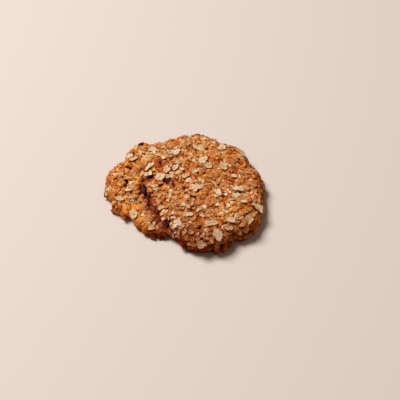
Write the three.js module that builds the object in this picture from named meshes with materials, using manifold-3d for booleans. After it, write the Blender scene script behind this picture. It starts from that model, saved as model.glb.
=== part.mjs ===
// Oatmeal raisin cookie: one large craggy drop cookie, wider than it is deep, with a full
// main mound on the right and a lower lobe that ran out of it on the left. Rolled oats
// stand out all over it, and raisins sit in pockets, most of them along the fold between
// the mound and the lobe.
//
// Millimetres, +Z up. The origin is under the middle of the cookie, on its flat underside.
// Bearings are in degrees, counter-clockwise from +X seen from above.
import * as THREE from 'three';
import { mergeVertices } from 'three/addons/utils/BufferGeometryUtils.js';
import Module from 'manifold-3d';

const wasm = await Module();
wasm.setup();

// ---------------------------------------------------------------- driving dimensions

// A mass of dough: an oval in plan with swells (+) and notches (-) round its rim, each
// [bearing, mm, spread in degrees], and a height that leans by slope mm per mm.
const MOUND = {
  centre: [12.2, -0.3],
  halfWidth: 39.6,
  halfDepth: 49.4,
  height: 12.5,
  lean: [-0.004, -0.012],
  rings: 14,
  swells: [
    [36, -3.9, 10], [66, -4.2, 12], [86, -1.5, 6], [118, 3.3, 18], [200, -3.1, 14],
    [220, -5.5, 16], [244, -4.2, 14], [294, -2.7, 5], [320, 2.5, 16],
  ],
};
const LOBE = {
  centre: [-23.8, 3.8],
  halfWidth: 27.6,
  halfDepth: 38,
  height: 9.2,
  lean: [0.02, 0.05],
  rings: 10,
  swells: [
    [62, 1.5, 16], [97, 2.1, 6], [126, -3.3, 16], [205, -5, 10],
    [226, -3.3, 9], [246, -9.4, 14], [264, -3, 8], [288, 4, 9],
  ],
};

// The edge from the underside to the top: [mm in from the rim, share of the height].
const EDGE = [
  [3.2, 0], [0.9, 0.14], [0, 0.38], [0.4, 0.6], [1.8, 0.8], [4.2, 0.94], [7.4, 1],
];
const EDGE_REACH = EDGE[EDGE.length - 1][0];
const WIDEST = 2; // the step of EDGE where the rim bulges furthest

// The bearings from the origin between which the lobe makes the rim, and not the mound.
const LOBE_BEARINGS = [112, 262];

const KNOB_SPACING = 5.6; // from one knob of dough to the next
const KNOB_RADIUS = 4.4;
const KNOB_HEIGHT = 2.4;
const SWALE_HEIGHT = 0.45; // the slow rise and fall of the top

const OAT_SIDES = 6;
// curl is how far an oat's rim rises from its middle, tilt how far it tips from the dough's
// own slope. Most of a small oat's thickness is down in the dough.
const LARGE_OAT = { thickness: 1, curl: 0.5, tilt: 0.16 };
const SMALL_OAT = { thickness: 2.4, curl: 0.35, tilt: 0.3 };
const OAT_REACH = 3.2; // half the stretch of dough that sets an oat's slope
const TOP_OATS = 64; // smaller oats strewn over the top
const TOP_OAT_GAP = 7.2; // least distance between two of them
const TOP_OAT_LEVEL = 8; // the dough is at least this high under them
const STREWN_ACROSS = 108; // the square that their places are drawn from
const TRIES = 6000;
const RIM_OATS = 24; // and round the side wall
const OAT_RIM_INSET = 1.3; // how far in from the rim their middles lie
const OAT_CLEAR_OF_RAISIN = 1.0;

// The largest oats: [x, y, length, width, turn].
const LARGE_OATS = [
  [15.1, -35.3, 9, 6.4, 20], [19.7, -43.4, 9.4, 6.4, -50], [47.4, -20.2, 8.6, 5.4, -60],
  [28.6, -32.8, 6.8, 5, 10], [27.6, -38.4, 6, 4.2, -15], [11, -48, 7, 5, 20],
  [-4.6, -33.6, 6.8, 5.6, 40], [-15.4, 6.8, 8.4, 6, 60], [-9.4, 6.8, 5.2, 4.4, 0],
  [-5.4, 14.2, 6.2, 4.8, 80], [-11.4, 12.8, 6.8, 5, 70], [-21.8, 18.2, 7, 5.6, 20],
  [-23, 11.2, 6.2, 4.4, -10], [26.7, 14.6, 6.8, 5.6, -20], [13.9, 20.8, 6.8, 5.8, 20],
  [-5.3, 28.9, 6.8, 5.2, 0], [25.5, 32.4, 6, 4.8, 10], [38, 31, 9.4, 5.4, -50],
  [8.3, -4.9, 8.4, 6.4, 20], [35.5, -5.1, 7.6, 5, -10], [-20.1, 33, 6.2, 5, 15],
  [-32.4, -19.2, 7.6, 5.6, 50], [-42.2, -8.4, 5.6, 4.2, -20], [-20.4, -31.4, 5.4, 4.4, 10],
  [10.3, 34.4, 6.8, 6, -30], [1.8, -27, 5.4, 4.4, 0], [40.9, -32, 6.4, 4.4, 80],
  [-12.6, -23.8, 5.6, 4.6, 30], [6.4, 10.8, 5.4, 4.6, 0], [33.3, -10.5, 6, 4.6, 30],
  [16.3, 15.7, 5.8, 4.6, -10], [-44, 11.7, 6.2, 4.8, 15], [-33.5, 26.5, 6.4, 5, 40],
];

// The raisins: [x, y, z, length, width, height, turn].
const RAISINS = [
  [-26, -0.8, 9, 7.8, 5.4, 4.8, 80], [-23.6, -8.2, 8.1, 6.2, 4.4, 4.2, -25],
  [-23, 7.4, 9.2, 6.4, 4.6, 4.2, 15], [-9.8, 4.2, 11.3, 6.4, 4.2, 4.2, 35],
  [-15.4, 20, 11, 5.2, 4, 3.8, -20], [-20.4, -17.4, 8, 6.8, 5, 4.6, -60],
  [-17, -26, 7, 6.4, 5, 4.8, 70], [-9.8, -30.8, 9.6, 6, 4.6, 4.4, -15],
  [-29.6, 41, 7.6, 5.6, 4.4, 4.2, 50],
];
const RAISIN_GAP = 0.35;

// Small burst hollows in the crust: [x, y, radius], each with its middle at the surface.
const HOLLOWS = [[-38.1, 6.3, 1.8], [5.2, -11.5, 1.6]];

const DOUGH_COLOUR = 0xa9682f;
const RAISIN_COLOUR = 0x3a1810;

// ---------------------------------------------------------------- repeatable chance

// A number from 0 to 1 that depends only on its two whole numbers.
function chance(index, stream) {
  let h = Math.imul(index + 1, 0x9e3779b1) ^ Math.imul(stream + 7, 0x85ebca6b);
  h = Math.imul(h ^ (h >>> 15), 0x2c1b3c6d);
  h = Math.imul(h ^ (h >>> 12), 0x297a2d39);
  return ((h ^ (h >>> 15)) >>> 0) / 4294967296;
}

// The same kind of number, from -1 to 1, for a cell of a grid in space.
function cellChance(i, j, k, stream) {
  return 2 * chance((i + 64) + 128 * (j + 64) + 16384 * (k + 64), stream) - 1;
}

// ---------------------------------------------------------------- the dough's surface

const radians = THREE.MathUtils.degToRad;

// How far the rim lies from the centre at a bearing: an oval, its swells and a fine wobble.
function rimRadius(mass, bearing) {
  const turn = radians(bearing);
  const { halfWidth: a, halfDepth: b } = mass;
  const oval = (a * b) / Math.hypot(b * Math.cos(turn), a * Math.sin(turn));
  let radius = oval;
  for (const [middle, push, spread] of mass.swells) {
    const away = THREE.MathUtils.euclideanModulo(bearing - middle + 180, 360) - 180;
    radius += push * Math.exp(-((away / spread) ** 2));
  }
  return radius + 0.45 * Math.sin(13 * turn + mass.height) + 0.3 * Math.sin(29 * turn);
}

// Knobs of dough: the nearest of a jittered grid of centres in space, as a round bump.
function knob(x, y, z) {
  const cell = [x, y, z].map((value) => Math.floor(value / KNOB_SPACING));
  let nearest = Infinity;
  for (let n = 0; n < 27; n += 1) {
    const i = cell[0] + (n % 3) - 1;
    const j = cell[1] + (Math.floor(n / 3) % 3) - 1;
    const k = cell[2] + Math.floor(n / 9) - 1;
    const px = (i + 0.5 + 0.42 * cellChance(i, j, k, 1)) * KNOB_SPACING;
    const py = (j + 0.5 + 0.42 * cellChance(i, j, k, 2)) * KNOB_SPACING;
    const pz = (k + 0.5 + 0.42 * cellChance(i, j, k, 3)) * KNOB_SPACING;
    nearest = Math.min(nearest, Math.hypot(x - px, y - py, z - pz));
  }
  return KNOB_HEIGHT * (Math.max(0, 1 - (nearest / KNOB_RADIUS) ** 2) - 0.45);
}

// The height of the top far from the rim, before its knobs.
function crownHeight(mass, x, y) {
  const lean = mass.lean[0] * x + mass.lean[1] * y;
  const swale = Math.sin(x / 8.5 + 0.6) * Math.cos(y / 10.5) + Math.sin((x + y) / 6.3);
  return mass.height + lean + SWALE_HEIGHT * swale;
}

// A point of the mass: inset mm in from the rim at a bearing, share of the way up.
// lift and push send the knobs upwards and outwards.
function doughPoint(mass, bearing, inset, share, lift, push) {
  const turn = radians(bearing);
  const radius = rimRadius(mass, bearing) - inset;
  const x = mass.centre[0] + radius * Math.cos(turn);
  const y = mass.centre[1] + radius * Math.sin(turn);
  const z = crownHeight(mass, x, y) * share;
  const bump = knob(x, y, z);
  return [x + bump * push * Math.cos(turn), y + bump * push * Math.sin(turn), z + bump * lift];
}

// The share of the height at a distance in from the rim, on the upper half of the edge.
function edgeShare(inset) {
  for (let n = WIDEST + 1; n < EDGE.length; n += 1) {
    const [far, high] = EDGE[n];
    const [near, low] = EDGE[n - 1];
    if (inset < far) {
      return THREE.MathUtils.mapLinear(Math.max(inset, 0), near, far, low, high);
    }
  }
  return 1;
}

// The height of one mass over a point, or 0 outside it.
function massHeight(mass, x, y) {
  const [dx, dy] = [x - mass.centre[0], y - mass.centre[1]];
  const inset = rimRadius(mass, THREE.MathUtils.radToDeg(Math.atan2(dy, dx))) - Math.hypot(dx, dy);
  if (inset < 0) {
    return 0;
  }
  const z = crownHeight(mass, x, y) * edgeShare(inset);
  return z + knob(x, y, z) * Math.min(1, inset / EDGE_REACH);
}

// The height of the whole cookie over a point.
function topHeight(x, y) {
  return Math.max(massHeight(MOUND, x, y), massHeight(LOBE, x, y));
}

// ---------------------------------------------------------------- closed meshes

// A solid from corner points and triangles.
function solidOf(points, triangles) {
  const mesh = new wasm.Mesh({
    numProp: 3,
    vertProperties: new Float32Array(points.flat()),
    triVerts: new Uint32Array(triangles.flat()),
  });
  return new wasm.Manifold(mesh);
}

// One mass of dough as a closed solid. Ring n of its top has 6n points, so that the points
// lie evenly, and the last ring's bearings go on down the edge to the flat underside.
function massSolid(mass) {
  const points = [doughPoint(mass, 0, rimRadius(mass, 0), 1, 1, 0)];
  const triangles = [];
  for (let ring = 1; ring <= mass.rings; ring += 1) {
    for (let step = 0; step < 6 * ring; step += 1) {
      const bearing = (60 * step) / ring;
      const reach = (rimRadius(mass, bearing) - EDGE_REACH) * (ring / mass.rings);
      const inset = rimRadius(mass, bearing) - reach;
      points.push(doughPoint(mass, bearing, inset, 1, 1, 0));
    }
  }
  const firstOf = (ring) => (ring === 0 ? 0 : 1 + 3 * ring * (ring - 1));
  const at = (ring, step) => firstOf(ring) + (ring === 0 ? 0 : step % (6 * ring));
  for (let ring = 1; ring <= mass.rings; ring += 1) {
    for (let side = 0; side < 6; side += 1) {
      for (let step = 0; step < ring; step += 1) {
        const outer = side * ring + step;
        const inner = side * (ring - 1) + step;
        triangles.push([at(ring, outer), at(ring, outer + 1), at(ring - 1, inner)]);
        if (step > 0) {
          triangles.push([at(ring, outer), at(ring - 1, inner), at(ring - 1, inner - 1)]);
        }
      }
    }
  }
  const around = 6 * mass.rings;
  let above = firstOf(mass.rings);
  for (let n = EDGE.length - 2; n >= 0; n -= 1) {
    const [inset, share] = EDGE[n];
    const below = points.length;
    for (let step = 0; step < around; step += 1) {
      const onFloor = n === 0;
      const [lift, push] = onFloor ? [0, 0] : [share * share, 1 - share * share];
      points.push(doughPoint(mass, (360 * step) / around, inset, share, lift, push));
    }
    for (let step = 0; step < around; step += 1) {
      const next = (step + 1) % around;
      triangles.push([above + step, below + step, below + next]);
      triangles.push([above + step, below + next, above + next]);
    }
    above = below;
  }
  const middle = points.length;
  points.push([mass.centre[0], mass.centre[1], 0]);
  for (let step = 0; step < around; step += 1) {
    triangles.push([above + step, middle, above + (step + 1) % around]);
  }
  return solidOf(points, triangles);
}

// A rolled oat: an oval with an uneven, slightly curled outline, lying at a place with its
// face along a normal. Its middle stands half a large oat's thickness above the place.
function oatSolid({ place, normal, length, width, turn, kind, seed }) {
  const face = new THREE.Vector3(...normal).normalize();
  const frame = new THREE.Matrix4().makeRotationFromQuaternion(
    new THREE.Quaternion().setFromUnitVectors(new THREE.Vector3(0, 0, 1), face));
  const spin = new THREE.Matrix4().makeRotationZ(radians(turn));
  const upper = LARGE_OAT.thickness / 2;
  const lower = upper - kind.thickness;
  const set = new THREE.Matrix4().makeTranslation(...place).multiply(frame).multiply(spin);
  const points = [];
  for (const level of [upper, lower]) {
    for (let n = 0; n < OAT_SIDES; n += 1) {
      const bearing = radians((360 * (n + 0.35 * chance(seed, n))) / OAT_SIDES);
      const ragged = 0.86 + 0.28 * chance(seed, 20 + n);
      const curl = kind.curl * (0.4 + chance(seed, 40 + n));
      points.push([(length / 2) * ragged * Math.cos(bearing),
        (width / 2) * ragged * Math.sin(bearing), level + curl]);
    }
  }
  const [top, bottom] = [2 * OAT_SIDES, 2 * OAT_SIDES + 1];
  points.push([0, 0, upper], [0, 0, lower]);
  const triangles = [];
  for (let n = 0; n < OAT_SIDES; n += 1) {
    const next = (n + 1) % OAT_SIDES;
    triangles.push([n, next, top], [n + OAT_SIDES, bottom, next + OAT_SIDES]);
    triangles.push([n, n + OAT_SIDES, next + OAT_SIDES], [n, next + OAT_SIDES, next]);
  }
  const moved = points.map((point) => new THREE.Vector3(...point).applyMatrix4(set).toArray());
  return solidOf(moved, triangles);
}

// A raisin: a wrinkled oval berry, its half sizes grown by a gap for the pocket it sits in.
function raisinGeometry([x, y, z, length, width, height, turn], gap) {
  const geometry = new THREE.IcosahedronGeometry(1, 1);
  geometry.deleteAttribute('normal');
  geometry.deleteAttribute('uv');
  const berry = mergeVertices(geometry);
  const place = berry.getAttribute('position');
  const point = new THREE.Vector3();
  for (let n = 0; n < place.count; n += 1) {
    point.fromBufferAttribute(place, n);
    const round = Math.atan2(point.z, point.y);
    const wrinkle = 1 - 0.07 * (1 + Math.sin(5 * round + 4 * point.x + x)) * (1 - point.x ** 2);
    point.multiplyScalar(wrinkle);
    place.setXYZ(n, point.x, point.y, point.z);
  }
  berry.scale(length / 2 + gap, width / 2 + gap, height / 2 + gap);
  berry.rotateZ(radians(turn));
  berry.translate(x, y, z);
  return berry;
}

// A burst bubble in the crust, as the ball that it takes out.
function hollowGeometry([x, y, radius]) {
  const geometry = new THREE.IcosahedronGeometry(radius, 1);
  geometry.deleteAttribute('normal');
  geometry.deleteAttribute('uv');
  return mergeVertices(geometry).translate(x, y, topHeight(x, y));
}

// A closed three.js geometry as a solid.
function solidOfGeometry(geometry) {
  const mesh = new wasm.Mesh({
    numProp: 3,
    vertProperties: new Float32Array(geometry.getAttribute('position').array),
    triVerts: new Uint32Array(geometry.index.array),
  });
  return new wasm.Manifold(mesh);
}

// The largest connected shell of a solid: a scrap cut loose is dropped, and a bubble that
// two pieces closed in is filled.
function mainShell(solid) {
  const { vertProperties, triVerts } = solid.getMesh();
  const parent = Array.from({ length: vertProperties.length / 3 }, (_, n) => n);
  const rootOf = (n) => {
    let root = n;
    while (parent[root] !== root) {
      parent[root] = parent[parent[root]];
      root = parent[root];
    }
    return root;
  };
  for (let n = 0; n < triVerts.length; n += 3) {
    parent[rootOf(triVerts[n])] = rootOf(triVerts[n + 1]);
    parent[rootOf(triVerts[n + 1])] = rootOf(triVerts[n + 2]);
  }
  const shells = new Map();
  for (let n = 0; n < triVerts.length; n += 3) {
    const root = rootOf(triVerts[n]);
    if (!shells.has(root)) {
      shells.set(root, []);
    }
    shells.get(root).push(triVerts[n], triVerts[n + 1], triVerts[n + 2]);
  }
  const largest = [...shells.values()].sort((a, b) => b.length - a.length)[0];
  const geometry = new THREE.BufferGeometry();
  geometry.setAttribute('position', new THREE.BufferAttribute(vertProperties, 3));
  geometry.setIndex(largest);
  return mergeVertices(geometry.toNonIndexed());
}

// ---------------------------------------------------------------- where the oats lie

// The direction that the top faces over a point, from its heights on either side of it.
function topNormal(x, y) {
  const alongX = topHeight(x + OAT_REACH, y) - topHeight(x - OAT_REACH, y);
  const alongY = topHeight(x, y + OAT_REACH) - topHeight(x, y - OAT_REACH);
  return new THREE.Vector3(-alongX, -alongY, 2 * OAT_REACH).normalize();
}

// A normal turned aside a little, so that no two oats lie alike.
function tipped(normal, amount, seed) {
  return [normal.x + amount * (2 * chance(seed, 60) - 1),
    normal.y + amount * (2 * chance(seed, 61) - 1), normal.z];
}

function clearOfRaisins(x, y, reach) {
  return RAISINS.every(([rx, ry, , length, width]) => {
    const berry = (length + width) / 4;
    return Math.hypot(x - rx, y - ry) > berry + reach + OAT_CLEAR_OF_RAISIN;
  });
}

// An oat on the top: { place, normal, length, width, turn, kind, seed }.
function topOat(x, y, length, width, turn, kind, seed) {
  const normal = tipped(topNormal(x, y), kind.tilt, seed);
  return { place: [x, y, topHeight(x, y)], normal, length, width, turn, kind, seed };
}

function strewnOats() {
  const oats = LARGE_OATS.map(([x, y, length, width, turn], n) => (
    topOat(x, y, length, width, turn, LARGE_OAT, 900 + n)));
  const wanted = oats.length + TOP_OATS;
  for (let seed = 0; oats.length < wanted && seed < TRIES; seed += 1) {
    const x = STREWN_ACROSS * (chance(seed, 70) - 0.5);
    const y = STREWN_ACROSS * (chance(seed, 71) - 0.5);
    const length = 4.6 + 2.2 * chance(seed, 72);
    const apart = oats.every(({ place }) => Math.hypot(x - place[0], y - place[1]) > TOP_OAT_GAP);
    if (apart && topHeight(x, y) > TOP_OAT_LEVEL && clearOfRaisins(x, y, 0.3 * length)) {
      const width = length * (0.68 + 0.2 * chance(seed, 73));
      oats.push(topOat(x, y, length, width, 360 * chance(seed, 74), SMALL_OAT, seed));
    }
  }
  return oats;
}

// Oats pressed into the side wall, one to each share of the way round.
function rimOats() {
  const oats = [];
  for (let n = 0; n < RIM_OATS; n += 1) {
    const bearing = (360 * (n + 0.7 * chance(n, 80))) / RIM_OATS;
    const share = 0.34 + 0.34 * chance(n, 81);
    const onLobe = bearing > LOBE_BEARINGS[0] && bearing < LOBE_BEARINGS[1];
    const [mass, other] = onLobe ? [LOBE, MOUND] : [MOUND, LOBE];
    const place = doughPoint(mass, bearing, OAT_RIM_INSET, share, 0, 1);
    const [x, y, z] = place;
    const length = 4.6 + 2 * chance(n, 82);
    if (massHeight(other, x, y) < z && clearOfRaisins(x, y, 0.4 * length)) {
      const outwards = new THREE.Vector3(
        Math.cos(radians(bearing)), Math.sin(radians(bearing)), 1.6 * (share - EDGE[WIDEST][1]));
      const turn = 360 * chance(n, 83);
      const seed = 500 + n;
      const normal = tipped(outwards, SMALL_OAT.tilt, seed);
      oats.push({ place, normal, length, width: 0.75 * length, turn, kind: SMALL_OAT, seed });
    }
  }
  return oats;
}

// ---------------------------------------------------------------- the cookie

function cookieGeometry() {
  let cookie = massSolid(MOUND).add(massSolid(LOBE));
  for (const oat of [...strewnOats(), ...rimOats()]) {
    cookie = cookie.add(oatSolid(oat));
  }
  for (const hollow of HOLLOWS) {
    cookie = cookie.subtract(solidOfGeometry(hollowGeometry(hollow)));
  }
  for (const raisin of RAISINS) {
    cookie = cookie.subtract(solidOfGeometry(raisinGeometry(raisin, RAISIN_GAP)));
  }
  return mainShell(cookie);
}

const group = new THREE.Group();

const dough = new THREE.MeshStandardMaterial({
  color: DOUGH_COLOUR,
  roughness: 0.75,
  metalness: 0,
  flatShading: true,
});
const cookie = new THREE.Mesh(cookieGeometry(), dough);
cookie.name = 'cookie';
group.add(cookie);

const fruit = new THREE.MeshStandardMaterial({
  color: RAISIN_COLOUR,
  roughness: 0.45,
  metalness: 0,
});
RAISINS.forEach((raisin, n) => {
  const mesh = new THREE.Mesh(raisinGeometry(raisin, 0), fruit);
  mesh.name = `raisin_${n + 1}`;
  group.add(mesh);
});

export default group;
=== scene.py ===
"""Oatmeal raisin cookie: the looks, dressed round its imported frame.

The dough is one closed body worked out on rings of points, with the same rim, crown and
knobs as the frame's solid, and over them a finer crumb with plates, lumps, cracks and pits.
Bare oats, oats coated in dough, shards of oat and grains of dough lie on it, one piece for
each kind, and wrinkled raisins sit in its pockets. Lengths are in millimetres until a mesh
is made, angles are in degrees, and +Z is up.
"""
import math

import bpy
import numpy as np
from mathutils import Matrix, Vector, kdtree


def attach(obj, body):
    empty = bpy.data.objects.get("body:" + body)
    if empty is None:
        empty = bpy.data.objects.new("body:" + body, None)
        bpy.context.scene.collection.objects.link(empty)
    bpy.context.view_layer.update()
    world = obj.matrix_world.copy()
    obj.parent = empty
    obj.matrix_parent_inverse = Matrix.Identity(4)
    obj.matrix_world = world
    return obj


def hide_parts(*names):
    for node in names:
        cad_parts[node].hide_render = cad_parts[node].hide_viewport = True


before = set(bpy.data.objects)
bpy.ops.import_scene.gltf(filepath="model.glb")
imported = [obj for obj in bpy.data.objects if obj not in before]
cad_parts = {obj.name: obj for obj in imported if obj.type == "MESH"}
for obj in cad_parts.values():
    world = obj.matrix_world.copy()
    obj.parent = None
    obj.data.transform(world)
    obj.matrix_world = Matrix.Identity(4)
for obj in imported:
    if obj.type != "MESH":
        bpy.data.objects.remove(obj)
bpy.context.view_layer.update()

MM = 0.001

# ------------------------------------------------------------------ driving sizes, in mm

# A mass of dough: an oval in plan, swells (+) and notches (-) of its rim as (bearing, mm,
# spread in degrees), and a height that leans by so many mm per mm.
MOUND = {
    "centre": (12.2, -0.3), "half_width": 39.6, "half_depth": 49.4,
    "height": 12.5, "lean": (-0.004, -0.012),
    "swells": ((36, -3.9, 10), (66, -4.2, 12), (86, -1.5, 6), (118, 3.3, 18), (200, -3.1, 14),
               (220, -5.5, 16), (244, -4.2, 14), (294, -2.7, 5), (320, 2.5, 16)),
}
LOBE = {
    "centre": (-23.8, 3.8), "half_width": 27.6, "half_depth": 38,
    "height": 9.2, "lean": (0.02, 0.05),
    "swells": ((62, 1.5, 16), (97, 2.1, 6), (126, -3.3, 16), (205, -5, 10),
               (226, -3.3, 9), (246, -9.4, 14), (264, -3, 8), (288, 4, 9)),
}

# The edge from the underside to the top: (mm in from the rim, share of the height).
EDGE = np.array([(3.2, 0), (0.9, 0.14), (0, 0.38), (0.4, 0.6), (1.8, 0.8), (4.2, 0.94), (7.4, 1)])
WIDEST = 2
RIM_STEP = 3  # the step of EDGE where the wall stops and the top starts

KNOB_SPACING = 5.6
KNOB_RADIUS = 4.4
KNOB_HEIGHT = 2.4
KNOB_FOOT = 0.16  # the share of the wall's height up to which the knobs fade in
SWALE_HEIGHT = 0.45
FOLD_DEPTH = 0.9

RINGS = 140  # rings of points on the top, and half as many on the underside
AROUND = 6 * RINGS  # points in the top's last ring, and in each row of the wall
WALL_ROWS = 16
RAISIN_ROWS = 43
RAISIN_COLUMNS = 72
TOP, WALL, UNDER = range(3)  # where a point of the dough belongs
MASSES = (MOUND, LOBE)

# The largest oats: (x, y, length, width, turn).
LARGE_OATS = (
    (15.1, -35.3, 9, 6.4, 20), (19.7, -43.4, 9.4, 6.4, -50), (47.4, -20.2, 8.6, 5.4, -60),
    (28.6, -32.8, 6.8, 5, 10), (27.6, -38.4, 6, 4.2, -15), (11, -48, 7, 5, 20),
    (-4.6, -33.6, 6.8, 5.6, 40), (-15.4, 6.8, 8.4, 6, 60), (-9.4, 6.8, 5.2, 4.4, 0),
    (-5.4, 14.2, 6.2, 4.8, 80), (-11.4, 12.8, 6.8, 5, 70), (-21.8, 18.2, 7, 5.6, 20),
    (-23, 11.2, 6.2, 4.4, -10), (26.7, 14.6, 6.8, 5.6, -20), (13.9, 20.8, 6.8, 5.8, 20),
    (-5.3, 28.9, 6.8, 5.2, 0), (25.5, 32.4, 6, 4.8, 10), (38, 31, 9.4, 5.4, -50),
    (8.3, -4.9, 8.4, 6.4, 20), (35.5, -5.1, 7.6, 5, -10), (-20.1, 33, 6.2, 5, 15),
    (-32.4, -19.2, 7.6, 5.6, 50), (-42.2, -8.4, 5.6, 4.2, -20), (-20.4, -31.4, 5.4, 4.4, 10),
    (10.3, 34.4, 6.8, 6, -30), (1.8, -27, 5.4, 4.4, 0), (40.9, -32, 6.4, 4.4, 80),
    (-12.6, -23.8, 5.6, 4.6, 30), (6.4, 10.8, 5.4, 4.6, 0), (33.3, -10.5, 6, 4.6, 30),
    (16.3, 15.7, 5.8, 4.6, -10), (-44, 11.7, 6.2, 4.8, 15), (-33.5, 26.5, 6.4, 5, 40),
)
# The raisins: (x, y, z, length, width, height, turn).
RAISINS = (
    (-26, -0.8, 9, 7.8, 5.4, 4.8, 80), (-23.6, -8.2, 8.1, 6.2, 4.4, 4.2, -25),
    (-23, 7.4, 9.2, 6.4, 4.6, 4.2, 15), (-9.8, 4.2, 11.3, 6.4, 4.2, 4.2, 35),
    (-15.4, 20, 11, 5.2, 4, 3.8, -20), (-20.4, -17.4, 8, 6.8, 5, 4.6, -60),
    (-17, -26, 7, 6.4, 5, 4.8, 70), (-9.8, -30.8, 9.6, 6, 4.6, 4.4, -15),
    (-29.6, 41, 7.6, 5.6, 4.4, 4.2, 50),
)
BROWN_RAISINS = (1, 6, 7, 9)  # the others are nearly black
COATED_RAISINS = (6, 7)  # these keep a film of dough
RAISIN_GAP = -0.15  # the dough laps over the skin's ridges by so much
# Burst bubbles in the crust, and hollows where it shrank from a raisin, each painted
# nearly black inside as shade: (x, y, radius), and how far under the crust their centres lie.
HOLLOWS = ((-38.1, 6.3, 1.8), (5.2, -11.5, 1.6), (-24.6, -4.5, 2.3), (-21, -7, 1.7),
           (-20.3, 8.2, 2.1), (-13.2, 3.4, 1.5), (-28, 39.2, 1.9))
HOLLOW_DEPTH = 0.5
# Cracks in the lobe's crust: (from x, y, to x, y), and their depth and half width.
CRACKS = ((-44, -3.2, -36.8, 4.8), (-39.6, 13.8, -34.6, 10.8), (-41, 20.7, -28.9, 34.8),
          (-36, -9, -29, -4.5), (-35.5, 17, -28.5, 21))
CRACK_DEPTH = 1.5
CRACK_REACH = 0.55
# Smooth lumps of dough, at the lobe's front and back: (x, y, radius), and their height.
LUMPS = ((-29.6, -25.8, 3.8), (-24.2, -27.6, 3.2), (-24.8, -31.4, 3.4), (-30.2, -17.6, 3.4),
         (-37.6, 15.2, 3.6), (-31.2, 17.4, 3.8))
LUMP_HEIGHT = 1.3
# The band of dough along the fold's lower half that is painted red-brown as shade, and its half
# width.
FOLD_SHADE_BAND = (-24, -8, -13, -36)
FOLD_SHADE_REACH = 5

# The kinds of flake, a column each: whole, broken and coated oats, shards of oat, grains
# of dough, plates of dough over buried flakes, and flakes pressed into the underside. The
# whole oats have their places and sizes above.
STREWN = {
    "wanted": (33, 300, 240, 560, 380, 1200, 420),
    "low": (0, 2.6, 2.6, 1.3, 0.9, 2.4, 3.4),  # the least length
    "high": (0, 5.8, 5.0, 3.2, 2.4, 6.4, 7.5),  # the greatest length
    "overlap": (0, 0.7, 0.7, 0.5, 0.55, 0.48, 0.56),  # how near, as a share of their radii
    "tilt": (0.2, 0.22, 0.3, 0.35, 0.5, 0.3, 0),
    "lift": (0, 0, 0.2, 0.3, 0.2, 0, 0),  # how far they may stand off the dough
    "places": (110, 120, 140, 150, 170, 130, 160),  # the streams of chance, here and below
    "tips": (1010, 1020, 150, 160, 180, 1030, 0),
    "outlines": (1000, 2000, 4200, 4500, 5100, 3000, 3500),
}
# The forms of the first five kinds, each on so many spokes and rings of points.
ROLLED = {
    "spokes": (40, 16, 12, 8, 6),
    "rings": (6, 2, 2, 1, 1),
    "ragged": (0.22, 0.18, 0.2, 0.25, 0.25),  # the size of the waves of the rim
    "breaks": (5, 5, 2, 4, 0),  # straight cuts across it
    "bites": (5, 2, 0, 0, 0),
    "dome": (0.2, 0.25, 0.5, 0.2, 0.45),  # the heights from here to edge are in mm
    "cup": (0.65, 0.35, 0.05, 0.1, 0.0),  # how far the rim turns up or down
    "groove": (0.3, 0.12, 0.0, 0.0, 0.0),
    "uneven": (0.2, 0.16, 0.2, 0.16, 0.2),
    "edge": (0.6, 0.45, 0.8, 0.4, 0.5),  # the thickness of the rim
    "tones": ((0.6, 1.0), (0.0, 1.0), (0.0, 1.0), (0.15, 0.85), (0.0, 0.9)),
    "smear": ((0.0, 0.3), (0.35, 0.95), None, (0.3, 1.0), None),  # dough smeared on it
}
WHOLE_OAT, BROKEN_OAT, COATED_OAT, SHARD, GRAIN, PLATE, PRESSED = (
    {key: row[n] for key, row in {**STREWN, **ROLLED}.items() if n < len(row)}
    for n in range(7))
TRIES = 16  # how many spots are looked at for each flake wanted
CREVICE = 0.45  # how deep the underside's crevices are
CREASES = {"oat": 40, "dough": 60}  # a flake's edges stay sharp where they turn by more

# The streams of chance that the noises draw from, so that no two are alike.
KNOBS, LUMPY, GRAINY, TOASTED = 1, 21, 31, 51
PRESSED_TOAST, PALE, GOLDEN, WRINKLED = 62, 71, 91, 200
RAGGED = (81, 82)
CRACKED = (85, 86)

# Marks on the points of a mesh, which the materials read. The hollow mark is 0 on bare
# crust, 1 in a crevice and 2 in a deep pit: by it the dough is painted red-brown in
# crevices and nearly black in pits, as painted shade. The edge mark is 0 in the middle of a
# flake's top, 1 at its rim and more down its side, which is painted dark as shade.
PIT_MARK = 2.0
WALL_MARK = 1.3

# The view: the camera's angle above the floor and its distance, the size of a pixel there,
# and the point of the frame of pixels that the cookie's middle falls on.
VIEW_ELEVATION = 48
VIEW_DISTANCE = 650
VIEW_MM_PER_PIXEL = 0.656
VIEW_MIDDLE = (0.6, -0.9, 5)
VIEW_PIXEL = (185, 193)
FRAME_PIXELS = 400
SENSOR = 36
FLOOR_HALF = 2000


# ------------------------------------------------------------------ repeatable chance

ANY_TURN = 6.3  # a little over a full turn in radians: a random share of it is a phase
GRID_SIDE = 128  # how many cells along each axis cells can number
JITTER = 0.42


def chance(index, stream):
    """A number from 0 to 1 for each whole number of an array, scrambled by multiplying
    and shifting its 32 bits, so that it depends on nothing but index and stream."""
    low = np.uint64(0xFFFFFFFF)
    whole = (np.asarray(index, dtype=np.int64) + 1).astype(np.uint64)
    salt = (np.asarray(stream, dtype=np.int64) + 7).astype(np.uint64)
    h = (whole * np.uint64(0x9E3779B1) & low) ^ (salt * np.uint64(0x85EBCA6B) & low)
    h = ((h ^ (h >> np.uint64(15))) * np.uint64(0x2C1B3C6D)) & low
    h = ((h ^ (h >> np.uint64(12))) * np.uint64(0x297A2D39)) & low
    return (h ^ (h >> np.uint64(15))).astype(float) / 2 ** 32


def shifts(index, stream):
    """Three random numbers from -1 to 1 for each whole number, as rows."""
    return np.stack([2 * chance(index, stream + k) - 1 for k in range(3)], 1)


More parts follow.
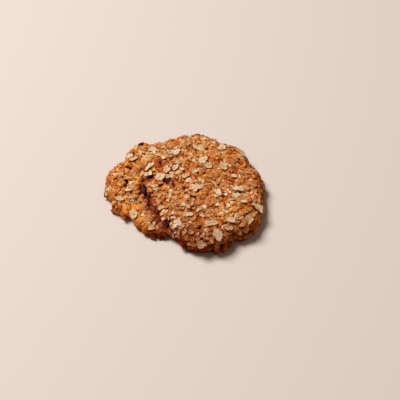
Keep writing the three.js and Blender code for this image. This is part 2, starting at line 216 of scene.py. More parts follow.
def cells(points, spacing, stream):
    """Distances from each point to the nearest and second nearest of the centres of a
    cubic grid, each centre shifted at random by up to JITTER of the grid's spacing."""
    cell = np.floor(points / spacing).astype(np.int64)
    nearest, second = np.full((2, len(points)), 1e9)
    for n in range(27):
        at = cell + np.array([n % 3 - 1, n // 3 % 3 - 1, n // 9 - 1])
        index = (at + GRID_SIDE // 2) @ np.array([1, GRID_SIDE, GRID_SIDE ** 2])
        centre = (at + 0.5 + JITTER * shifts(index, stream)) * spacing
        away = np.linalg.norm(points - centre, axis=1)
        second = np.minimum(second, np.maximum(nearest, away))
        nearest = np.minimum(nearest, away)
    return nearest, second


def drift(points, size, stream):
    """A slow even noise from about -1 to 1: a sum of six plane sine waves, each about
    size mm long, with directions and phases drawn from the stream."""
    total = np.zeros(len(points))
    for n in range(6):
        pick = chance(np.arange(5) + 5 * n, stream)
        way = pick[:3] - 0.5
        way = way / (np.linalg.norm(way) + 1e-9)
        wave = 2 * math.pi / (size * (0.7 + 0.7 * pick[3]))
        total += np.sin(points @ way * wave + ANY_TURN * pick[4])
    return total / 3


def smooth_step(value, low, high):
    """0 below low, 1 above high, and a smooth S between them."""
    t = np.clip((value - low) / (high - low), 0, 1)
    return t * t * (3 - 2 * t)


def unit(vectors):
    """Rows of vectors, each made a unit long."""
    return vectors / np.maximum(np.linalg.norm(vectors, axis=1), 1e-12)[:, None]


def polar(reach, bearing):
    """The x and y of places at a distance and a bearing from the origin."""
    return reach * np.cos(np.radians(bearing)), reach * np.sin(np.radians(bearing))


# ------------------------------------------------------------------ the dough's surface

def rim_reach(mass, bearing):
    """The rim's distance from the mass's centre: an oval, plus each swell as a bell curve
    of the bearing, plus two fine waves."""
    turn = np.radians(bearing)
    a, b = mass["half_width"], mass["half_depth"]
    reach = a * b / np.hypot(b * np.cos(turn), a * np.sin(turn))
    for middle, push, spread in mass["swells"]:
        away = (bearing - middle + 180) % 360 - 180
        reach = reach + push * np.exp(-((away / spread) ** 2))
    return reach + 0.45 * np.sin(13 * turn + mass["height"]) + 0.3 * np.sin(29 * turn)


def crown(mass, x, y):
    """The height far from the rim: a plane that leans, with a slow swale."""
    swale = np.sin(x / 8.5 + 0.6) * np.cos(y / 10.5) + np.sin((x + y) / 6.3)
    return mass["height"] + mass["lean"][0] * x + mass["lean"][1] * y + SWALE_HEIGHT * swale


def edge_curve(step):
    """The edge's profile at a fractional step: a Catmull-Rom curve through EDGE."""
    n = np.clip(np.floor(step).astype(int), 0, len(EDGE) - 2)
    t = (step - n)[:, None]
    padded = np.vstack([2 * EDGE[0] - EDGE[1], EDGE, EDGE[-1]])
    before, start, end, after = (padded[n + k] for k in range(4))
    return 0.5 * (2 * start + (end - before) * t
                  + (2 * before - 5 * start + 4 * end - after) * t ** 2
                  + (3 * start - before - 3 * end + after) * t ** 3)


UPPER_EDGE = edge_curve(np.linspace(WIDEST, len(EDGE) - 1, 80))


def from_centre(mass, x, y):
    """The bearing and the distance of a point from the mass's centre."""
    dx, dy = x - mass["centre"][0], y - mass["centre"][1]
    return np.degrees(np.arctan2(dy, dx)), np.hypot(dx, dy)


def with_knobs(x, y, z, bearing, share, strength):
    """Points with the knobs of dough added, each a round bump about the nearest centre of
    a jittered grid: they lift the middle, where share is 1, and push the rim outwards."""
    nearest, _ = cells(np.stack([x, y, z], 1), KNOB_SPACING, KNOBS)
    bump = strength * KNOB_HEIGHT * (np.maximum(0, 1 - (nearest / KNOB_RADIUS) ** 2) - 0.45)
    out_x, out_y = polar(bump * (1 - share ** 2) * smooth_step(share, 0.0, KNOB_FOOT), bearing)
    return np.stack([x + out_x, y + out_y, z + bump * share ** 2], 1)


def mass_surface(mass, x, y, strength):
    """The top of one mass over plan points: the crown times the edge's share, with its
    knobs. The height is -1 outside."""
    bearing, far = from_centre(mass, x, y)
    inset = rim_reach(mass, bearing) - far
    share = np.interp(inset, UPPER_EDGE[:, 0], UPPER_EDGE[:, 1])
    place = with_knobs(x, y, crown(mass, x, y) * share, bearing, share, strength)
    place[inset < 0, 2] = -1
    return place


def wall_points(mass, bearing, inset, share, strength):
    """Points of the side wall, inset mm in from the rim, share of the way up."""
    x, y = polar(rim_reach(mass, bearing) - inset, bearing)
    x, y = mass["centre"][0] + x, mass["centre"][1] + y
    return with_knobs(x, y, crown(mass, x, y) * share, bearing, share, strength)


def outline_table():
    """The whole outline about the origin: at each bearing the farther of the two rims,
    found by halving, and which mass makes it."""
    bearing = np.arange(0, 360, 0.25)
    reaches = []
    for mass in MASSES:
        low, high = np.zeros(len(bearing)), np.full(len(bearing), 75.0)
        for _ in range(26):
            middle = (low + high) / 2
            side, far = from_centre(mass, *polar(middle, bearing))
            inside = rim_reach(mass, side) > far
            low, high = np.where(inside, middle, low), np.where(inside, high, middle)
        reaches.append(low)
    return bearing, np.maximum(*reaches), reaches[1] > reaches[0]


OUT_BEARING, OUT_REACH, OUT_IS_LOBE = outline_table()


def out_reach(bearing):
    """The whole outline's distance from the origin."""
    return np.interp(bearing, OUT_BEARING, OUT_REACH, period=360)


def first_of(ring):
    """The row of a ring's first point in a disc, whose ring n has 6n points."""
    return np.where(ring > 0, 1 + 3 * ring * (ring - 1), 0)


def ring_points(rings):
    """The ring and bearing of each point of such a disc."""
    counts = 6 * np.arange(1, rings + 1)
    ring = np.concatenate([[0], np.repeat(np.arange(1, rings + 1), counts)])
    return ring, 60 * (np.arange(len(ring)) - first_of(ring)) / np.maximum(ring, 1)


def ring_triangles(rings):
    """The triangles between each ring and the next of such a disc, facing up."""
    ring = np.repeat(np.arange(1, rings + 1), 6 * np.arange(1, rings + 1))
    outer = np.arange(len(ring)) - 3 * ring * (ring - 1)
    side, along = outer // ring, outer % ring
    inner = side * (ring - 1) + along

    def at(level, step):
        """The row of the point so many steps round a ring."""
        return first_of(level) + step % np.maximum(6 * level, 1)

    wide = np.stack([at(ring, outer), at(ring, outer + 1), at(ring - 1, inner)], 1)
    narrow = np.stack([at(ring, outer), at(ring - 1, inner), at(ring - 1, inner - 1)], 1)
    return np.vstack([wide, narrow[along > 0]])


def dough_top(strength):
    """The top: the higher of the two masses over rings of points that crowd towards the
    rim, drawn down along the fold."""
    ring, bearing = ring_points(RINGS)
    part = ring / RINGS
    part = part * 1.35 - 0.35 * part ** 2
    x, y = polar((out_reach(bearing) - EDGE[RIM_STEP][0]) * part, bearing)
    mound, lobe = (mass_surface(mass, x, y, strength) for mass in MASSES)
    top = np.where((mound[:, 2] > lobe[:, 2])[:, None], mound, lobe)
    step_up = np.abs(mound[:, 2] - lobe[:, 2])
    fold = np.exp(-(step_up / 1.3) ** 2) * (np.minimum(mound[:, 2], lobe[:, 2]) > 0)
    top[:, 2] -= FOLD_DEPTH * fold * smooth_step(-y, -34, 12) * (ring < RINGS)
    return top


def dough_wall(strength):
    """The wall: rows of points down the edge's profile from the top's last ring, on the
    mass that makes the outline there. The last row stands on the floor."""
    bearing = 60 * np.arange(AROUND) / RINGS
    x, y = polar(out_reach(bearing), bearing)
    on_lobe = np.interp(bearing, OUT_BEARING, OUT_IS_LOBE, period=360) > 0.5
    rows = []
    for step in np.linspace(RIM_STEP, 0, WALL_ROWS + 1)[1:]:
        inset, share = edge_curve(np.array([step]))[0]
        share = max(share, 0)
        mound, lobe = (wall_points(mass, from_centre(mass, x, y)[0], inset, share, strength)
                       for mass in MASSES)
        rows.append(np.where(on_lobe[:, None], lobe, mound))
    rows[-1][:, 2] = 0
    return rows


def dough_base(foot):
    """The flat underside: rings of points half as close as the top's, out to the wall's
    foot."""
    bearing = np.degrees(np.arctan2(foot[:, 1], foot[:, 0])) % 360
    order = np.argsort(bearing)
    ring, spread = ring_points(RINGS // 2)
    reach = np.interp(spread, bearing[order], np.hypot(foot[order, 0], foot[order, 1]), period=360)
    return np.stack([*polar(reach * ring / (RINGS // 2 + 0.6), spread), 0 * reach], 1)


def dough_points(strength):
    """The whole body's points, from the top over the wall to the underside. strength
    scales the knobs."""
    wall = dough_wall(strength)
    return np.vstack([dough_top(strength), *wall, dough_base(wall[-1])])


def dough_faces():
    """The triangles that close the body, and where each of its points belongs."""
    under = int(first_of(RINGS + 1)) + WALL_ROWS * AROUND
    faces = [ring_triangles(RINGS)]
    above = np.arange(AROUND) + int(first_of(RINGS))
    for _ in range(WALL_ROWS):
        below = above + AROUND
        after = np.roll(below, -1)
        faces += [np.stack([above, below, after], 1),
                  np.stack([above, after, np.roll(above, -1)], 1)]
        above = below
    inner = np.arange(AROUND // 2) + under + int(first_of(RINGS // 2))
    inner_after = np.roll(inner, -1)
    even, odd, even_after = above[::2], above[1::2], np.roll(above[::2], -1)
    faces += [ring_triangles(RINGS // 2)[:, ::-1] + under,
              np.stack([even, inner, odd], 1),
              np.stack([odd, inner, inner_after], 1),
              np.stack([odd, inner_after, even_after], 1)]
    counts = [first_of(RINGS + 1), WALL_ROWS * AROUND, first_of(RINGS // 2 + 1)]
    return np.vstack(faces), np.repeat([TOP, WALL, UNDER], counts)


def point_normals(points, faces):
    """Each point's normal: the sum of its faces' area-weighted normals, made unit."""
    a, b, c = (points[faces[:, k]] for k in range(3))
    flat = np.cross(b - a, c - a)
    total = np.zeros_like(points)
    for axis in range(3):
        for corner in range(3):
            total[:, axis] += np.bincount(faces[:, corner], flat[:, axis], len(points))
    return unit(total)


def evened(values, faces, turns):
    """Values averaged over each point's neighbours, so many times."""
    pairs = np.vstack([faces[:, [0, 1]], faces[:, [1, 2]], faces[:, [2, 0]]])
    count = np.bincount(pairs[:, 0], minlength=len(values))
    for _ in range(turns):
        values = np.bincount(pairs[:, 0], values[pairs[:, 1]], len(values)) / count
    return values


# ------------------------------------------------------------------ shares of the surface

def plain_heights(points):
    """The heights of the mound and of the lobe, without their knobs, over plan points."""
    return [mass_surface(mass, points[:, 0], points[:, 1], 0)[:, 2] for mass in MASSES]


def lobe_share(points):
    """1 over the lobe, 0 over the mound, from how far its top stands clear of the mound."""
    mound, lobe = plain_heights(points)
    return smooth_step(lobe - mound, -1, 2)


def fold_share(points):
    """1 along the fold where the two masses meet, and less away from it and to the back."""
    mound, lobe = plain_heights(points)
    near = np.exp(-((mound - lobe) / 1.6) ** 2) * (np.minimum(mound, lobe) > 0)
    return near * smooth_step(-points[:, 1], -26, 4)


def front_share(points):
    """1 at the middle of the mound's front edge, and less away from it."""
    return np.exp(-((points[:, 0] - 4) / 20) ** 2 - ((points[:, 1] + 43) / 10) ** 2)


def line_share(points, line, reach):
    """1 on a line in plan and less away from it, by a bell curve of the distance."""
    start, run = np.array(line[:2]), np.subtract(line[2:], line[:2])
    away = points[:, :2] - start
    away = away - np.clip(away @ run / (run @ run), 0, 1)[:, None] * run
    return np.exp(-(away ** 2).sum(1) / reach ** 2)


def lump_share(points):
    """1 on top of each smooth lump of dough, falling to 0 at its foot as a flat dome."""
    share = [1 - ((points[:, 0] - x) ** 2 + (points[:, 1] - y) ** 2) / radius ** 2
             for x, y, radius in LUMPS]
    return np.maximum(np.max(share, axis=0), 0)


def pale_share(points):
    """How much of the surface is bare oats: most on the mound, in drifts, and less on the
    lobe, the right rim, the front and the fold's band of painted shade. The lumps have none."""
    on_mound = smooth_step(points[:, 0], -34, -6)
    high = smooth_step(points[:, 2], 3.5, 9.5)
    share = 0.23 + 0.4 * on_mound + 0.7 * drift(points, 12, PALE)
    share *= (0.15 + 0.85 * high) * (1 - 0.35 * smooth_step(points[:, 0], 26, 44))
    share *= 1 - 0.55 * front_share(points)
    share *= 1 - 0.5 * line_share(points, FOLD_SHADE_BAND, FOLD_SHADE_REACH)
    return share * (1 - np.sqrt(lump_share(points)))


def plain_share(points):
    """How much of the surface is rough with small things: the mound, and little of the
    lobe. The lumps have hardly any."""
    return (1 - 0.7 * lobe_share(points)) * (1 - lump_share(points) ** 0.25)


def toast_at(points):
    """How far a place is toasted: most at the foot of the wall, some on the rim, along the
    mound's front and right and the fold, and a little in slow patches off the lobe."""
    foot = 1 - smooth_step(points[:, 2], 0.4, 5.0)
    bearing = np.degrees(np.arctan2(points[:, 1], points[:, 0])) % 360
    rim = smooth_step(np.hypot(points[:, 0], points[:, 1]) / out_reach(bearing), 0.9, 1.0)
    patch = smooth_step(drift(points, 26, TOASTED), 0.1, 0.9) * (1 - 0.7 * lobe_share(points))
    front = smooth_step(-points[:, 1], 24, 48)
    right = smooth_step(points[:, 0], 28, 50)
    some = 0.2 * rim + 0.2 * patch + 0.55 * front + 0.16 * right + 0.2 * fold_share(points)
    return np.clip(0.75 * foot + some, 0, 1)


def golden_at(points):
    """How golden the dough baked: most on the lobe, in slow patches on the mound, and half
    as much on the lumps."""
    patch = 0.6 * drift(points, 20, GOLDEN)
    return np.clip(0.6 * lobe_share(points) + patch, 0, 1) * (1 - 0.5 * lump_share(points))


def ruddy_at(points):
    """How far the dough is painted red-brown: painted shade along the fold and the band
    beside it, and red-brown round the raisins and on the mound's front."""
    near = np.zeros(len(points))
    for raisin in RAISINS:
        away = np.linalg.norm(points - np.array(raisin[:3]), axis=1) - raisin[3] / 2
        near = np.maximum(near, 1 - smooth_step(away, 0.2, 3.2))
    ruddy = 0.6 * fold_share(points) + 0.55 * line_share(points, FOLD_SHADE_BAND, FOLD_SHADE_REACH)
    return np.clip(ruddy + 0.85 * near + 0.9 * front_share(points), 0, 1)


# ------------------------------------------------------------------ relief

def crumb_relief(points):
    """The bare crumb between the flakes, in mm: lumps of two sizes from jittered grids,
    lower on the lobe, parted by clefts that follow the valleys between the knobs, which
    are deeper there."""
    near, _ = cells(points, 3.3, LUMPY)
    small, _ = cells(points, 1.6, GRAINY)
    lobe = lobe_share(points)
    lump = np.maximum(0, 1 - (near / 2.7) ** 2) * (0.95 - 0.4 * lobe)
    grain = np.maximum(0, 1 - (small / 1.3) ** 2)
    nearest, second = cells(points, KNOB_SPACING, KNOBS)
    cleft = (1 - smooth_step(second - nearest, 0.1, 1.1)) * (0.3 + 0.5 * lobe)
    return -0.8 + lump + 0.14 * grain - 0.7 * cleft


def crack_relief(points):
    """How deep each point lies in a crack, whose line wanders a little."""
    shift = [drift(points, 5, stream) for stream in CRACKED]
    shift = np.stack([*shift, 0 * points[:, 0]], 1)
    depth = [line_share(points + 0.7 * shift, line, CRACK_REACH) for line in CRACKS]
    return CRACK_DEPTH * np.max(depth, axis=0)


def raisin_axes(raisin, gap):
    """A raisin's centre, and the matrix that turns its oval, grown by gap, into a ball."""
    x, y, z, length, width, height, turn = raisin
    c, s = math.cos(math.radians(turn)), math.sin(math.radians(turn))
    spin = np.array([[c, s, 0], [-s, c, 0], [0, 0, 1]])
    half = np.array([length, width, height]) / 2 + gap
    return np.array([x, y, z]), spin / half[:, None]


def dig(points, normals, upper, centre, to_ball, hollow, mark):
    """Sinks an oval pocket into the upper surface. Each point inside it moves against its
    normal until it leaves on the far side, where a line meets a ball of radius 1, but not
    below the floor, and gets the hollow mark, by which the pocket is painted dark as shade."""
    q = (points[upper] - centre) @ to_ball.T
    d = -normals[upper] @ to_ball.T
    dd, qd, qq = (d * d).sum(1), (q * d).sum(1), (q * q).sum(1)
    inside = qq < 1
    root = np.sqrt(np.maximum(qd ** 2 - dd * (qq - 1), 0))
    travel = np.where(inside, (-qd + root) / np.maximum(dd, 1e-9), 0)
    points[upper] -= normals[upper] * travel[:, None]
    points[upper, 2] = np.maximum(points[upper, 2], 0)
    hollow[upper[inside]] = mark


# ------------------------------------------------------------------ where flakes lie

def lie_across(normal, turn):
    """Two unit vectors square to each normal and to each other, turned by so many degrees."""
    side = np.where(np.abs(normal[:, :1]) < 0.9, np.array([[1.0, 0, 0]]), np.array([[0, 1.0, 0]]))
    side = unit(side - normal * (side * normal).sum(1)[:, None])
    other = np.cross(normal, side)
    c, s = np.cos(np.radians(turn))[:, None], np.sin(np.radians(turn))[:, None]
    return c * side + s * other, c * other - s * side


def lay(centre, facing, length, width, turn, stream):
    """A batch of flakes that lie at their centres and face along unit vectors."""
    along, across = lie_across(facing, turn)
    return {"centre": centre, "facing": facing, "along": along, "across": across,
            "length": length, "width": width, "stream": stream}


def under_flake(surface, normals, flakes, n):
    """The points of the surface near flake n: their rows, the height of the flake's plane
    over them along their normals, and how far out they lie, 1 at its wavy rim."""
    away = surface - flakes["centre"][n]
    rows = np.flatnonzero((away ** 2).sum(1) < (0.62 * flakes["length"][n] + 0.6) ** 2)
    away, up, facing = away[rows], normals[rows], flakes["facing"][n]
    plane = -(away @ facing) / np.maximum(up @ facing, 0.45)
    at = away + up * plane[:, None]
    p = at @ flakes["along"][n] * 2 / flakes["length"][n]
    q = at @ flakes["across"][n] * 2 / flakes["width"][n]
    angle = np.arctan2(q, p)
    pick = chance(n, flakes["stream"] + np.arange(4))
    wavy = 1 + 0.14 * pick[0] * np.cos(2 * angle + ANY_TURN * pick[1])
    wavy += 0.12 * pick[2] * np.cos(3 * angle + ANY_TURN * pick[3])
    return rows, plane, np.hypot(p, q) / wavy


def tip(normals, amount, stream):
    """Normals tipped sideways at random by up to amount."""
    return unit(normals + amount * shifts(np.arange(len(normals)), stream))


def settle(flakes, surface, up, share, lift):
    """Moves each flake along its facing, a few mm at most, until the dough under the given
    share of it would stand above it, and then lifts it by so many mm."""
    for n in range(len(flakes["length"])):
        _, plane, out = under_flake(surface, up, flakes, n)
        over = plane[out < 0.9]
        rise = lift[n] - (np.quantile(over, share) if len(over) else 0)
        flakes["centre"][n] += flakes["facing"][n] * np.clip(rise, -1.5, 2.5)


def clear_of_raisins(spots, reach):
    """Which spots are farther than reach from every raisin's skin."""
    clear = np.ones(len(spots), bool)
    for raisin in RAISINS:
        centre, to_ball = raisin_axes(raisin, reach)
        clear &= (((spots - centre) @ to_ball.T) ** 2).sum(1) > 1
    return clear


def shown(points, part_of, least):
    """The rows of the top's points, and of the wall's above a least height."""
    return np.flatnonzero((part_of == TOP) | ((part_of == WALL) & (points[:, 2] > least)))


def nearest_on_top(points, part_of, x, y):
    """The row of the top's point that is nearest to a place in plan."""
    top = np.flatnonzero(part_of == TOP)
    return top[np.argmin(np.hypot(points[top, 0] - x, points[top, 1] - y))]


class Strewn:
    """Keeps the places already taken, so that what is strewn later keeps clear of them."""

    def __init__(self):
        self.places = []

    def spread(self, spots, radii, wanted, overlap):
        """Takes spots in their order, each only if no taken place is nearer than overlap
        times the sum of the two radii, until there are as many as wanted. Gives the rows."""
        base = len(self.places)
        tree = kdtree.KDTree(base + len(spots))
        for n, spot in enumerate([spot for spot, _ in self.places] + list(spots)):
            tree.insert(spot, n)
        tree.balance()
        held = dict(enumerate(radius for _, radius in self.places))
        widest = max([*held.values(), radii.max()])
        taken = []
        for n, (spot, radius) in enumerate(zip(spots, radii)):
            near = tree.find_range(spot, overlap * (radius + widest))
            if all(k not in held or far > overlap * (radius + held[k]) for _, k, far in near):
                held[base + n] = radius
                taken.append(n)
                if len(taken) == wanted:
                    break
        self.places += [(spots[n], radii[n]) for n in taken]
        return np.array(taken, dtype=int)


def draw(strewn, spots, pool, kind, keep=None):
    """Draws places for a kind of flake from a pool of spots, more of them where keep says
    a greater share. Gives their rows, lengths, widths and turns."""
    wanted, low, high, stream = (kind[key] for key in ("wanted", "low", "high", "places"))
    pool = pool[np.argsort(chance(pool, stream))][:wanted * TRIES]
    fine = clear_of_raisins(spots[pool], 0.3 * low)
    if keep is not None:
        fine &= chance(pool, stream + 5) < keep(spots[pool])
    pool = pool[fine]
    length = low + (high - low) * chance(pool, stream + 1) ** 1.5
    width = length * (0.62 + 0.3 * chance(pool, stream + 2))
    taken = strewn.spread(spots[pool], (length + width) / 4, wanted, kind["overlap"])
    rows = pool[taken]
    return rows, length[taken], width[taken], 360 * chance(rows, stream + 3)


# ------------------------------------------------------------------ making pieces

def make_piece(name, points, faces, slot, material, sharp=None, uv=None, **marks):
    """A mesh piece in metres from points in mm, with marks as point attributes, that
    rides on the cookie's one body."""
    mesh = bpy.data.meshes.new(name)
    mesh.vertices.add(len(points))
    mesh.vertices.foreach_set("co", (np.asarray(points) * MM).astype(np.float32).ravel())
    corners = faces.shape[1]
    mesh.loops.add(faces.size)
    mesh.loops.foreach_set("vertex_index", faces.astype(np.int32).ravel())
    mesh.polygons.add(len(faces))
    mesh.polygons.foreach_set("loop_start", np.arange(0, faces.size, corners, dtype=np.int32))
    mesh.polygons.foreach_set("use_smooth", np.ones(len(faces), dtype=bool))
    for mark, values in marks.items():
        layer = mesh.attributes.new(mark, "FLOAT", "POINT")
        layer.data.foreach_set("value", np.asarray(values, dtype=np.float32))
    if uv is not None:
        layer = mesh.uv_layers.new(name="lie")
        layer.data.foreach_set("uv", uv[faces.ravel()].astype(np.float32).ravel())
    mesh.update(calc_edges=True)
    mesh.validate()
    if sharp is not None:
        mesh.set_sharp_from_angle(angle=math.radians(sharp))
    mesh.materials.append(material)
    piece = bpy.data.objects.new(name, mesh)
    bpy.context.scene.collection.objects.link(piece)
    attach(piece, "root")
    return piece


def closed_rows(rows, columns):
    """The triangles of a closed surface from a first point over rows of points to a last
    one. They face outwards if the rows run anticlockwise as seen from the first."""
    column = np.arange(columns)
    after = np.roll(column, -1)
    faces = [np.stack([0 * column, 1 + column, 1 + after], 1)]
    for row in range(rows - 1):
        here, next_row = 1 + row * columns, 1 + (row + 1) * columns
        faces += [np.stack([here + column, next_row + column, next_row + after], 1),
                  np.stack([here + column, next_row + after, here + after], 1)]
    end = 1 + (rows - 1) * columns
    faces.append(np.stack([end + column, 0 * column + end + columns, end + after], 1))
    return np.vstack(faces)


def oat_rims(index, theta, kind, stream):
    """Each oat's radius at its spokes: four random waves, cut straight across by random
    breaks, with small bites out of them, and evened to the same mean."""
    rho = np.ones(theta.shape)
    for wave in range(2, 6):
        size = kind["ragged"] * (chance(index, stream + wave) - 0.2) / wave * 2
        phase = ANY_TURN * chance(index, stream + 10 + wave)
        rho += size[:, None] * np.cos(wave * theta + phase[:, None])
    for cut in range(kind["breaks"]):
        reach = 0.48 + 0.46 * chance(index, stream + 50 + cut)
        away = np.cos(theta - ANY_TURN * chance(index, stream + 60 + cut)[:, None])
        rho = np.minimum(rho, np.where(away > 0.05, reach[:, None] / np.maximum(away, 0.05), 9))
    for bite in range(kind["bites"]):
        depth = 0.55 * chance(index, stream + 70 + bite) ** 1.5
        gap = theta - ANY_TURN * chance(index, stream + 80 + bite)[:, None]
        gap = (gap + math.pi) % (2 * math.pi) - math.pi
        rho *= 1 - depth[:, None] * np.exp(-(gap / 0.24) ** 2)
    return rho / (rho.mean(axis=1)[:, None] * 1.1)


def roll_oats(flakes, kind):
    """Rolled oats as closed thin shells. In its own plane an oat is an oval with a ragged
    rim. Its top is a dome that cups up towards the rim and waves twice round it, with the
    crease of the grain along it. Its underside is a shallow cone below a rim of its own
    thickness. Gives points, faces, a map along the grain, and the edge and tone marks."""
    stream, spokes, rings = flakes["stream"], kind["spokes"], kind["rings"]
    count = len(flakes["length"])
    index = np.arange(count)

    def pick(low, high, k):
        """A random number from low to high for each oat, as a column."""
        return (low + (high - low) * chance(index, stream + k))[:, None]

    theta = 2 * math.pi * (np.arange(spokes) + 0.5) / spokes
    theta = theta + 0.35 * (chance(index[:, None] * spokes + np.arange(spokes), stream) - 0.5)
    f = np.concatenate([[0], np.repeat((np.arange(1, rings + 1) / rings) ** 0.8, spokes)])
    middle = np.zeros((count, 1))
    angle = np.concatenate([middle, np.tile(theta, (1, rings))], 1)
    rho = np.tile(oat_rims(index, theta, kind, stream), (1, rings))
    radius = np.concatenate([middle, rho], 1) * f
    px = radius * np.cos(angle) * flakes["length"][:, None] / 2
    py = radius * np.sin(angle) * flakes["width"][:, None] / 2

    dome = kind["dome"] * pick(0.6, 1.3, 30)
    cup = kind["cup"] * pick(-0.3, 1.2, 31)
    twist = kind["cup"] * pick(-0.8, 0.8, 32)
    groove = kind["groove"] * pick(0.3, 1.2, 33)
    uneven = kind["uneven"] * (chance(index[:, None] * 97 + np.arange(len(f)), stream + 34) - 0.5)
    thick = kind["edge"] * pick(0.7, 1.4, 35)
    top = dome * (1 - f ** 2) + cup * f ** 2 + twist * f ** 2 * np.cos(2 * angle)
    top = top - groove * np.exp(-(py / 0.45) ** 2) * (1 - f ** 3) + uneven
    local = np.stack([
        np.concatenate([px, px[:, -spokes:] * 0.96, middle], 1),
        np.concatenate([py, py[:, -spokes:] * 0.96, middle], 1),
        np.concatenate([top, top[:, -spokes:] - thick, -0.9 * thick], 1)], 2)
    world = flakes["centre"][:, None]
    for k, axis in enumerate(("along", "across", "facing")):
        world = world + local[:, :, k, None] * flakes[axis][:, None]

    per = local.shape[1]
    faces = closed_rows(rings + 1, spokes) + per * index[:, None, None]
    grain = local[:, :, :2] / 8 + np.stack([pick(0, 9, 40), pick(0, 9, 41)], 2)
    edge = np.concatenate([f, np.full(spokes + 1, WALL_MARK)])
    return {
        "points": world.reshape(-1, 3),
        "faces": faces.reshape(-1, 3),
        "uv": grain.reshape(-1, 2),
        "edge": np.tile(edge, count),
        "tone": np.repeat(chance(index, stream + 42), per),
    }


# ------------------------------------------------------------------ node trees

NUMBER, COLOUR = "NodeSocketFloat", "NodeSocketColor"


def linear(red, green, blue):
    """A screen colour out of 255 as a linear colour with alpha."""
    def one(value):
        """One channel by the sRGB curve."""
        value /= 255
        return value / 12.92 if value <= 0.04045 else ((value + 0.055) / 1.055) ** 2.4
    return (one(red), one(green), one(blue), 1.0)


class Wiring:
    """Builds a node tree. An input is either a value to set or a socket to link."""

    def __init__(self, tree):
        self.tree = tree

    def add(self, kind, inputs=None, **settings):
        """A new node with its settings and inputs."""
        node = self.tree.nodes.new(kind)
        for key, value in settings.items():
            setattr(node, key, value)
        self.feed(node, inputs or {})
        return node

    def feed(self, node, inputs):
        """Sets or links a node's inputs by their names or numbers."""
        for key, value in inputs.items():
            if isinstance(value, bpy.types.NodeSocket):
                self.tree.links.new(value, node.inputs[key])
            else:
                node.inputs[key].default_value = value

    def maths(self, operation, a, b, clamp=False):
        """An operation on two numbers."""
        settings = {"operation": operation, "use_clamp": clamp}
        return self.add("ShaderNodeMath", {0: a, 1: b}, **settings).outputs[0]

    def times(self, a, b):
        """The product of two numbers."""
        return self.maths("MULTIPLY", a, b)

    def mix(self, amount, a, b, blend="MIX"):
        """Colour a with so much of colour b blended over it."""
        settings = {"data_type": "RGBA", "blend_type": blend}
        return self.add("ShaderNodeMix", {0: amount, 6: a, 7: b}, **settings).outputs[2]

    def over(self, colour, *coats):
        """The colour with coats mixed over it in turn, each a share and a screen colour."""
        for share, coat in coats:
            colour = self.mix(share, colour, linear(*coat))
        return colour

    def span(self, value, low, high, to_low=0.0, to_high=1.0):
        """A smooth step from to_low to to_high as the value goes from low to high."""
        inputs = {0: value, 1: low, 2: high, 3: to_low, 4: to_high}
        return self.add("ShaderNodeMapRange", inputs, interpolation_type="SMOOTHSTEP").outputs[0]

    def mark(self, name):
        """A mark on the points of the mesh."""
        return self.add("ShaderNodeAttribute", attribute_name=name).outputs["Fac"]

    def place(self):
        """Object coordinates, in metres."""
        return self.add("ShaderNodeTexCoord").outputs["Object"]

    def noise(self, where, scale, detail, **inputs):
        """Noise of so many waves to the unit."""
        inputs = {"Vector": where, "Scale": scale, "Detail": detail, **inputs}
        return self.add("ShaderNodeTexNoise", inputs).outputs[0]

    def group(self, tree, inputs):
        """The outputs of a node group that is placed in the tree."""
        return self.add("ShaderNodeGroup", inputs, node_tree=tree).outputs


def new_group(name, inputs, outputs):
    """An empty shader node group with named inputs and outputs."""
    tree = bpy.data.node_groups.new(name, "ShaderNodeTree")
    for label, kind, value in inputs:
        socket = tree.interface.new_socket(name=label, in_out="INPUT", socket_type=kind)
        socket.default_value = value
    for label, kind in outputs:
        tree.interface.new_socket(name=label, in_out="OUTPUT", socket_type=kind)
    wiring = Wiring(tree)
    return tree, wiring, wiring.add("NodeGroupInput").outputs, wiring.add("NodeGroupOutput")


def mottle_group():
    """Uneven baking: broad and fine noise on object coordinates, and sparse specks, each
    spread to 0..1."""
    tree, w, given, out = new_group(
        "uneven baking", [("Broad size", NUMBER, 5.0), ("Fine size", NUMBER, 1.2)],
        [("Broad", NUMBER), ("Fine", NUMBER), ("Speck", NUMBER)])
    where = w.place()
    broad = w.noise(where, w.maths("DIVIDE", 1 / MM, given["Broad size"]), 2.0, Roughness=0.6)
    fine = w.noise(where, w.maths("DIVIDE", 1 / MM, given["Fine size"]), 4.0, Roughness=0.6)
    speck = w.noise(where, 2.6 / MM, 2.0)
    w.feed(out, {"Broad": w.span(broad, 0.35, 0.65), "Fine": w.span(fine, 0.34, 0.66),
                 "Speck": w.span(speck, 0.5, 0.72)})
    return tree


def crumb_group():
    """The height of a fine crumb: small cells and a grain of noise, for a Bump node."""
    tree, w, given, out = new_group(
        "fine crumb", [("Cell size", NUMBER, 0.7)], [("Height", NUMBER)])
    where = w.place()
    scale = w.maths("DIVIDE", 1 / MM, given["Cell size"])
    cell = w.add("ShaderNodeTexVoronoi", {"Vector": where, "Scale": scale}, feature="SMOOTH_F1")
    grain = w.noise(where, 3.2 / MM, 3.0)
    w.feed(out, {"Height": w.maths("SUBTRACT", grain, cell.outputs["Distance"])})
    return tree


def toast_group():
    """Toasting: turns a colour towards brown by an amount, and darker still past half."""
    tree, w, given, out = new_group(
        "toasting", [("Colour", COLOUR, (1, 1, 1, 1)), ("Amount", NUMBER, 0.0)],
        [("Colour", COLOUR)])
    brown = w.mix(given["Amount"], given["Colour"], linear(170, 104, 50), "MULTIPLY")
    charred = w.span(given["Amount"], 0.5, 1.2, 0, 0.7)
    w.feed(out, {"Colour": w.over(brown, (charred, (66, 22, 4)))})
    return tree


